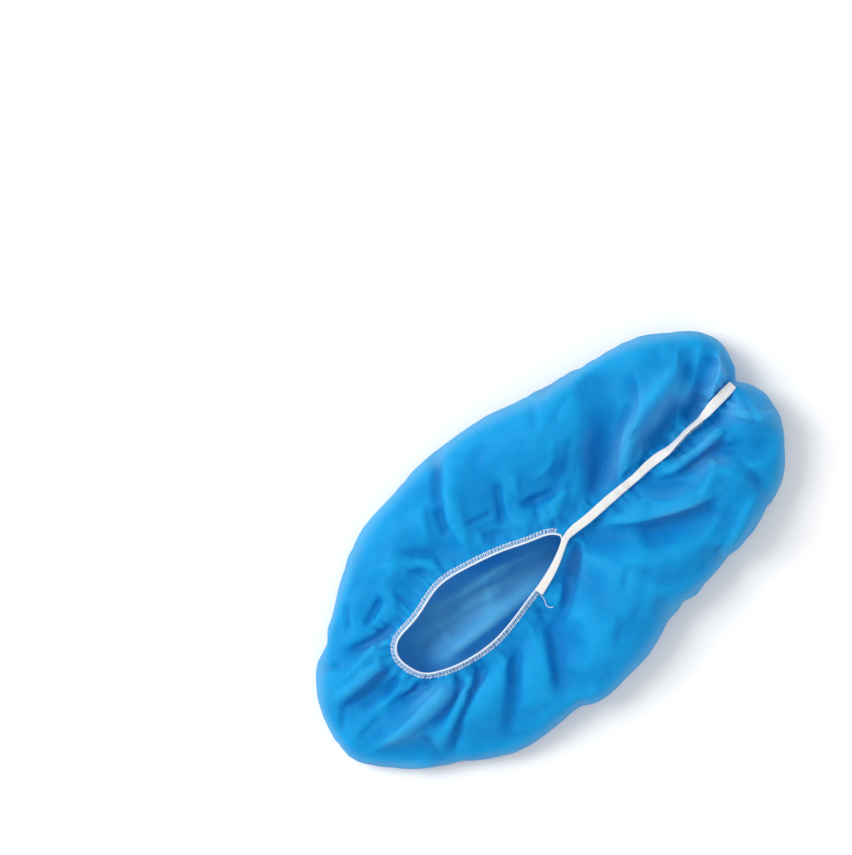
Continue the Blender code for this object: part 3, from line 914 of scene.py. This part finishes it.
def spunbond_material():
    material, tree, shader = plain_principled("blue_spunbond", MIDDLE_BLUE, 0.5)
    links = tree.links
    sheet_map = add_node(tree, "ShaderNodeTexCoord").outputs["UV"]
    dots = dot_value(tree, sheet_map, DOT_PITCH)
    clouds = noise_value(tree, sheet_map, CLOUD_SIZE, 4.0)
    fibres = noise_value(tree, sheet_map, FIBRE_SIZE, 3.0, 0.7)
    relief_for_painted_shade = attribute_value(tree, "relief")
    rim_for_painted_light = attribute_value(tree, "rim")

    # Painted shade: low relief (hollows) mixes towards the deep blue, and the clouds vary the tone at
    # random.
    tone = math_node(tree, "MULTIPLY", relief_for_painted_shade, 1.5)
    tone = math_node(tree, "ADD", tone, math_node(tree, "MULTIPLY", clouds, 0.5))
    tone = math_node(tree, "SUBTRACT", tone, 0.5, clamp=True)
    blue_with_painted_shade = mix_colours(tree, tone, HOLLOW_SHADE_BLUE, MIDDLE_BLUE)
    # Painted glints on the welded dots, plus painted light on the rim, mix the colour towards pale blue.
    glint_and_rim_light = math_node(tree, "MULTIPLY", dots, fibres)
    glint_and_rim_light = math_node(tree, "MULTIPLY", glint_and_rim_light, math_node(tree, "SUBTRACT", clouds, 0.2, clamp=True))
    glint_and_rim_light = math_node(tree, "ADD", math_node(tree, "MULTIPLY", rim_for_painted_light, 0.55), glint_and_rim_light, clamp=True)
    colour = mix_colours(tree, glint_and_rim_light, blue_with_painted_shade, PAINTED_LIGHT_BLUE)
    links.new(colour, shader.inputs["Base Color"])
    shader.inputs["Specular IOR Level"].default_value = 0.12

    height = math_node(tree, "ADD", dots, math_node(tree, "MULTIPLY", fibres, 0.8))
    bump = add_node(tree, "ShaderNodeBump")
    bump.inputs["Strength"].default_value = 0.5
    bump.inputs["Distance"].default_value = 0.12 * MM
    links.new(height, bump.inputs["Height"])
    links.new(bump.outputs["Normal"], shader.inputs["Normal"])

    glow = add_node(tree, "ShaderNodeBsdfTranslucent")
    # The translucent colour also takes the painted glints and the painted rim light.
    links.new(mix_colours(tree, glint_and_rim_light, THROUGH_BLUE, PAINTED_LIGHT_BLUE), glow.inputs["Color"])
    links.new(bump.outputs["Normal"], glow.inputs["Normal"])
    both = add_node(tree, "ShaderNodeMixShader")
    both.inputs["Fac"].default_value = LIGHT_THROUGH
    links.new(shader.outputs["BSDF"], both.inputs[1])
    links.new(glow.outputs["BSDF"], both.inputs[2])
    links.new(both.outputs["Shader"], tree.nodes["Material Output"].inputs["Surface"])
    return material


fabric.data.materials.append(spunbond_material())
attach(fabric, "root")
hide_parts("cover_body")

# %% [markdown]
# ## The edge of the opening
# An overlock machine trims the fabric, wraps its edge round an elastic thread and throws loops back
# over the fabric. Threads are tubes: a small ring of points swept along a path. One helper makes
# every thread of the object, with closed ends, so none of them shows a hole.

# %% A helper that makes threads
THREAD_SIDES = 6


def sweep_thread(path, radii, closed, sides=THREAD_SIDES):
    """Points and faces of a tube along a path in millimetres; each place has its own radius."""
    count = len(path)
    points = []
    across = None
    for index, here in enumerate(path):
        if closed:
            run = path[(index + 1) % count] - path[index - 1]
        else:
            run = path[min(index + 1, count - 1)] - path[max(index - 1, 0)]
        run.normalize()
        start = Vector((0.0, 0.0, 1.0)) if across is None else across
        across = (start - run * start.dot(run)).normalized()
        other = run.cross(across)
        for side in range(sides):
            angle = 2.0 * math.pi * side / sides
            offset = across * math.cos(angle) + other * math.sin(angle)
            points.append(here + offset * radii[index])
    faces = []
    rings = count if closed else count - 1
    for ring in range(rings):
        low = ring * sides
        high = (ring + 1) % count * sides
        for side in range(sides):
            beside = (side + 1) % sides
            faces.append((low + side, low + beside, high + beside, high + side))
    if not closed:
        faces.append(tuple(reversed(range(sides))))
        faces.append(tuple(range((count - 1) * sides, count * sides)))
    return points, faces


def join_parts(name, parts):
    """One smooth-shaded object from several lists of points and faces."""
    points = []
    faces = []
    for part_points, part_faces in parts:
        start = len(points)
        points += part_points
        faces += [tuple(start + index for index in face) for face in part_faces]
    mesh = bpy.data.meshes.new(name)
    mesh.from_pydata([point * MM for point in points], [], faces)
    mesh.update()
    mesh.shade_smooth()
    piece = bpy.data.objects.new(name, mesh)
    bpy.context.scene.collection.objects.link(piece)
    return piece


# %% [markdown]
# The elastic thread follows the fabric's own cut edge. Wrapped thread has a fine screw of ridges,
# which comes from letting the radius rise and fall along the path, a quarter turn at a time.

# %% Wrap the elastic thread round the edge
CORD_STEP = 0.4
CORD_INWARD = 0.25
CORD_RISE = 0.25
CORD_RADIUS_LEFT = 0.60
CORD_RADIUS_RIGHT = 0.50
WRAP_PITCH = 1.25
WRAP_DEPTH = 0.13

edge_samples, edge_run = resample(edge_loop, CORD_STEP, True)


def edge_frame(samples, index):
    """A point of the edge, the direction along it and the direction out over the fabric."""
    ahead = samples[(index + 3) % len(samples)]
    behind = samples[index - 3]
    direction = (ahead - behind).to_2d().normalized()
    return samples[index], direction, Vector((-direction.y, direction.x))


def cord_path():
    path = []
    radii = []
    for index in range(len(edge_samples)):
        point, direction, outward = edge_frame(edge_samples, index)
        right = float(ease((outward.x + 0.2) / 0.6))
        radius = CORD_RADIUS_LEFT + (CORD_RADIUS_RIGHT - CORD_RADIUS_LEFT) * right
        wrap = math.sin(2.0 * math.pi * edge_run[index] / WRAP_PITCH)
        inward = outward * -CORD_INWARD
        path.append(Vector((point.x + inward.x, point.y + inward.y, point.z + CORD_RISE)))
        radii.append(radius * (1.0 + WRAP_DEPTH * wrap))
    return path, radii


cord_points, cord_radii = cord_path()
opening_cord = join_parts("opening_cord", [sweep_thread(cord_points, cord_radii, True, sides=10)])
print("opening cord", len(opening_cord.data.polygons), "faces")

# %% [markdown]
# One stitch is modelled once, as a short leaning loop in a small flat space: how far along the edge
# and how far out over the fabric. Every copy is then laid on the fabric at its own place, so the
# loops rise and dip with the gathers.

# %% Throw the overlock loops over the fabric
Stitch = namedtuple("Stitch", "along out lift")
LOOP_SHAPE = [
    Stitch(-0.10, -0.60, 0.75),
    Stitch(0.15, 0.60, 0.75),
    Stitch(0.42, 1.40, 0.28),
    Stitch(0.70, 2.10, 0.22),
    Stitch(0.95, 2.50, 0.24),
    Stitch(1.30, 2.58, 0.26),
    Stitch(1.42, 2.20, 0.24),
    Stitch(1.28, 1.50, 0.26),
    Stitch(1.10, 0.60, 0.75),
    Stitch(0.95, -0.60, 0.70),
]
LOOP_PITCH = 2.05
LOOP_RADIUS = 0.21
LOOP_WOBBLE = 0.14
CHAIN_OUT = 2.45
CHAIN_RADIUS = 0.17
CHAIN_LIFT = 0.3
CHAIN_SWAY = 0.22
STITCH_SEED = 5


def over_fabric(samples, total, along, out, lift):
    """A place on the fabric, from how far along its held edge and how far out it is."""
    index = int(round((along % total) / CORD_STEP)) % len(samples)
    point, direction, outward = edge_frame(samples, index)
    spot = point.to_2d() + outward * out
    return Vector((spot.x, spot.y, fabric_height(spot.x, spot.y, point.z) + lift))


def overlock(samples, total, start, end, reach=1.0):
    """Leaning loops from start to end along an edge, and the chain that ties their far ends."""
    wander = random.Random(STITCH_SEED)
    parts = []
    place = start
    while place < end:
        shift = wander.uniform(-LOOP_WOBBLE, LOOP_WOBBLE)
        length = reach * (1.0 + wander.uniform(-LOOP_WOBBLE, LOOP_WOBBLE))
        path = [
            over_fabric(samples, total, place + shift + stitch.along, stitch.out * length, stitch.lift)
            for stitch in LOOP_SHAPE
        ]
        parts.append(sweep_thread(path, [LOOP_RADIUS] * len(path), False, sides=5))
        place += LOOP_PITCH
    steps = int((end - start) / (0.25 * LOOP_PITCH))
    chain = []
    for step in range(steps + 1):
        along = start + (end - start) * step / steps
        out = reach * CHAIN_OUT + CHAIN_SWAY * math.sin(2.0 * math.pi * along / LOOP_PITCH)
        chain.append(over_fabric(samples, total, along, out, CHAIN_LIFT))
    parts.append(sweep_thread(chain, [CHAIN_RADIUS] * len(chain), False, sides=5))
    return parts


edge_length = edge_run[-1] + CORD_STEP
TAIL_END_ALONG = 36.0
APEX_CLEAR = 3.0
loops = overlock(edge_samples, edge_length, TAIL_END_ALONG, edge_length - APEX_CLEAR)
opening_stitches = join_parts("opening_stitches", loops)
print(len(loops) - 1, "loops,", len(opening_stitches.data.polygons), "faces")

# %% [markdown]
# ## The stretch tape
# The tape is knitted elastic, sewn flat over the seam. Near the toe it rolls on edge, and past the
# seam it runs down the right side of the opening and ends in a plain cut. A strip with a rounded
# section is swept along its rows, with shallow ribs and a slight waist at every stitch.

# %% Sweep the tape over the seam
TAPE_STEP = 0.6
TAPE_HALF_THICKNESS = 0.38
TAPE_LIFT = 0.75
TAPE_EVEN_ROUNDS = 14
TAPE_SECTION = 28
TAPE_RIBS = 6.0
TAPE_RIB_DEPTH = 0.07
TAPE_WAIST = 0.10
TAPE_WAIST_PITCH = 2.1
TAPE_PROBES = (-1.8, -0.9, 0.0, 0.9, 1.8)

TapePlace = namedtuple("TapePlace", "centre across up width")


def smooth_rows(rows, step):
    """Rows at even steps along the tape, through a Catmull-Rom curve of every column."""
    points = [Vector((row.x, row.y, 0.0)) for row in rows]
    lengths = [0.0]
    for first, second in zip(points, points[1:]):
        lengths.append(lengths[-1] + (second - first).length)
    count = int(lengths[-1] / step)
    placed = []
    for number in range(count + 1):
        spot = lengths[-1] * number / count
        place = min(int(np.searchsorted(lengths, spot, side="right")) - 1, len(rows) - 2)
        part = (spot - lengths[place]) / (lengths[place + 1] - lengths[place])
        four = [rows[min(max(place + shift, 0), len(rows) - 1)] for shift in (-1, 0, 1, 2)]
        placed.append(Tape(*[catmull_rom(values, part) for values in zip(*four)]))
    return placed


def catmull_rom(values, part):
    before, start, end, after = values
    slope_in = 0.5 * (end - before)
    slope_out = 0.5 * (after - start)
    square = part * part
    cube = square * part
    rise = (2.0 * cube - 3.0 * square + 1.0) * start + (3.0 * square - 2.0 * cube) * end
    return rise + (cube - 2.0 * square + part) * slope_in + (cube - square) * slope_out


def tape_places():
    """The tape's centre, width and directions at every step, resting on the fabric below it."""
    rows = smooth_rows(TAPE, TAPE_STEP)
    heights = []
    for row in rows:
        below = [fabric_height(row.x + shift, row.y, SEAM_HEIGHT) for shift in TAPE_PROBES]
        heights.append(max(below))
    for _ in range(TAPE_EVEN_ROUNDS):
        padded = [heights[0]] + heights + [heights[-1]]
        threes = zip(padded, padded[1:], padded[2:])
        heights = [(first + 2.0 * here + last) / 4.0 for first, here, last in threes]
    places = []
    for index, row in enumerate(rows):
        ahead = rows[min(index + 1, len(rows) - 1)]
        behind = rows[max(index - 1, 0)]
        run = Vector((ahead.x - behind.x, ahead.y - behind.y)).normalized()
        roll = math.radians(row.turn)
        across = Vector((-run.y * math.cos(roll), run.x * math.cos(roll), math.sin(roll)))
        along = Vector((run.x, run.y, 0.0))
        stand = 0.5 * row.width * abs(math.sin(roll))
        centre = Vector((row.x, row.y, heights[index] + TAPE_LIFT + stand))
        places.append(TapePlace(centre, across, along.cross(across) * -1.0, row.width))
    return places


def tape_section(place, run):
    """One ring of the tape: a flat oval with ribs, pulled in a little at each stitch."""
    waist = 1.0 - TAPE_WAIST * max(0.0, math.cos(2.0 * math.pi * run / TAPE_WAIST_PITCH)) ** 6
    ring = []
    for number in range(TAPE_SECTION):
        angle = 2.0 * math.pi * number / TAPE_SECTION
        side = math.copysign(abs(math.cos(angle)) ** 0.55, math.cos(angle))
        top = math.copysign(abs(math.sin(angle)) ** 0.7, math.sin(angle))
        rib = 1.0 + TAPE_RIB_DEPTH * math.cos(math.pi * TAPE_RIBS * side)
        half_width = 0.5 * place.width * (0.97 + 0.03 * waist)
        offset = place.across * (side * half_width)
        offset += place.up * (top * TAPE_HALF_THICKNESS * rib * (0.6 + 0.4 * waist))
        ring.append(place.centre + offset)
    return ring


def make_tape(places):
    points = []
    faces = []
    for index, place in enumerate(places):
        points += tape_section(place, index * TAPE_STEP)
    for index in range(len(places) - 1):
        low = index * TAPE_SECTION
        high = low + TAPE_SECTION
        for number in range(TAPE_SECTION):
            beside = (number + 1) % TAPE_SECTION
            faces.append((low + number, high + number, high + beside, low + beside))
    faces.append(tuple(range(TAPE_SECTION)))
    faces.append(tuple(reversed(range(len(points) - TAPE_SECTION, len(points)))))
    return points, faces


places = tape_places()
tape = join_parts("stretch_tape_strip", [make_tape(places)])
print("tape", round(len(places) * TAPE_STEP), "mm long,", len(tape.data.polygons), "faces")

# %% [markdown]
# Two lines of short stitches hold the tape down, one near each edge. Where the tape rolls on edge,
# the overlocked edge of the fabric shows beside it, with the same loops as round the opening.

# %% Sew the tape down
DASH_PITCH = 2.1
DASH_LENGTH = 1.35
DASH_RADIUS = 0.15
DASH_INSET = 0.75
ALLOWANCE_START = 27.0
ALLOWANCE_END = 56.0
ALLOWANCE_REACH = 0.95


def place_at(places, run):
    """The tape's place at a length along it, between its steps."""
    spot = min(run / TAPE_STEP, len(places) - 1.001)
    first = places[int(spot)]
    second = places[int(spot) + 1]
    part = spot - int(spot)
    return TapePlace(
        first.centre.lerp(second.centre, part),
        first.across.lerp(second.across, part),
        first.up.lerp(second.up, part),
        first.width + (second.width - first.width) * part,
    )


def sew_dashes(places):
    """Short stitches lying on the tape, sinking at both ends where the needle went through."""
    parts = []
    total = (len(places) - 1) * TAPE_STEP
    for side in (-1.0, 1.0):
        start = 1.5
        while start < total - 2.0:
            path = []
            for number in range(5):
                place = place_at(places, start + DASH_LENGTH * number / 4.0)
                inset = side * (0.5 * place.width - DASH_INSET)
                lift = TAPE_HALF_THICKNESS - 0.08 + 0.12 * math.sin(math.pi * number / 4.0)
                path.append(place.centre + place.across * inset + place.up * lift)
            parts.append(sweep_thread(path, [DASH_RADIUS] * len(path), False, sides=5))
            start += DASH_PITCH
    return parts


tape_line, tape_run = resample([place.centre for place in places], CORD_STEP, False)
tape_length = tape_run[-1]
seam_loops = overlock(tape_line, tape_length, ALLOWANCE_START, ALLOWANCE_END, ALLOWANCE_REACH)
tape_stitches = join_parts("tape_stitches", sew_dashes(places) + seam_loops)
print("tape stitches", len(tape_stitches.data.polygons), "faces")

# %% [markdown]
# One end of the sewing thread is left hanging from the tape's cut end. It is a loose hair of
# thread, so a few points with straight steps between them are enough.

# %% Leave the loose thread end
LOOSE_THREAD = [
    (13.6, -14.6, 1.2),
    (15.0, -15.4, 0.9),
    (17.0, -15.2, 0.5),
    (19.0, -15.6, 0.45),
    (21.0, -16.7, 0.6),
    (23.0, -17.0, 1.3),
    (24.6, -16.0, 1.6),
    (25.2, -14.6, 1.2),
]
LOOSE_RADIUS = 0.24

loose_path = [Vector((x, y, fabric_height(x, y, SEAM_HEIGHT) + lift)) for x, y, lift in LOOSE_THREAD]
loose_line, loose_run = resample(loose_path, 0.5, False)
loose_radii = [LOOSE_RADIUS] * len(loose_line)
loose_thread = join_parts("loose_thread_end", [sweep_thread(loose_line, loose_radii, False)])
print("loose thread", round(loose_run[-1], 1), "mm long")

# %% [markdown]
# Tape and thread are both off-white polyester. The tape shows fine lengthwise ribs crossed by the
# knit's rows, and the thread a twist; both come from a wave texture on object coordinates, faint
# enough to read as texture and not as stripes.

# %% White tape and white thread
TAPE_WHITE = (0.80, 0.79, 0.76, 1.0)
TAPE_SHADE = (0.60, 0.60, 0.60, 1.0)
THREAD_WHITE = (0.82, 0.84, 0.86, 1.0)
THREAD_SHADE = (0.50, 0.62, 0.74, 1.0)
KNIT_SIZE = 0.55


def yarn_material(name, pale, shade, size, roughness):
    material, tree, shader = plain_principled(name, pale, roughness)
    place = add_node(tree, "ShaderNodeTexCoord").outputs["Object"]
    knit = add_node(tree, "ShaderNodeTexWave", wave_type="BANDS", bands_direction="DIAGONAL")
    knit.inputs["Scale"].default_value = 0.3 / (size * MM)
    knit.inputs["Distortion"].default_value = 1.5
    knit.inputs["Detail"].default_value = 2.0
    tree.links.new(place, knit.inputs["Vector"])
    fuzz = noise_value(tree, place, size, 3.0)
    height = math_node(tree, "ADD", math_node(tree, "MULTIPLY", knit.outputs["Fac"], 0.6), fuzz)
    tone = math_node(tree, "MULTIPLY", height, 0.75, clamp=True)
    tree.links.new(mix_colours(tree, tone, shade, pale), shader.inputs["Base Color"])
    bump = add_node(tree, "ShaderNodeBump")
    bump.inputs["Strength"].default_value = 0.4
    bump.inputs["Distance"].default_value = 0.1 * MM
    tree.links.new(height, bump.inputs["Height"])
    tree.links.new(bump.outputs["Normal"], shader.inputs["Normal"])
    shader.inputs["Specular IOR Level"].default_value = 0.3
    return material


thread_finish = yarn_material("white_thread", THREAD_WHITE, THREAD_SHADE, 0.4, 0.7)
tape_finish = yarn_material("white_elastic", TAPE_WHITE, TAPE_SHADE, KNIT_SIZE, 0.75)
for piece, finish, slot in (
    (opening_cord, thread_finish, "edge_thread"),
    (opening_stitches, thread_finish, "edge_thread"),
    (tape_stitches, thread_finish, "edge_thread"),
    (loose_thread, thread_finish, "edge_thread"),
    (tape, tape_finish, "stretch_tape"),
):
    piece.data.materials.append(finish)
    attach(piece, "root")
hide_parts("mouth_edging")
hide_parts("elastic_tape")
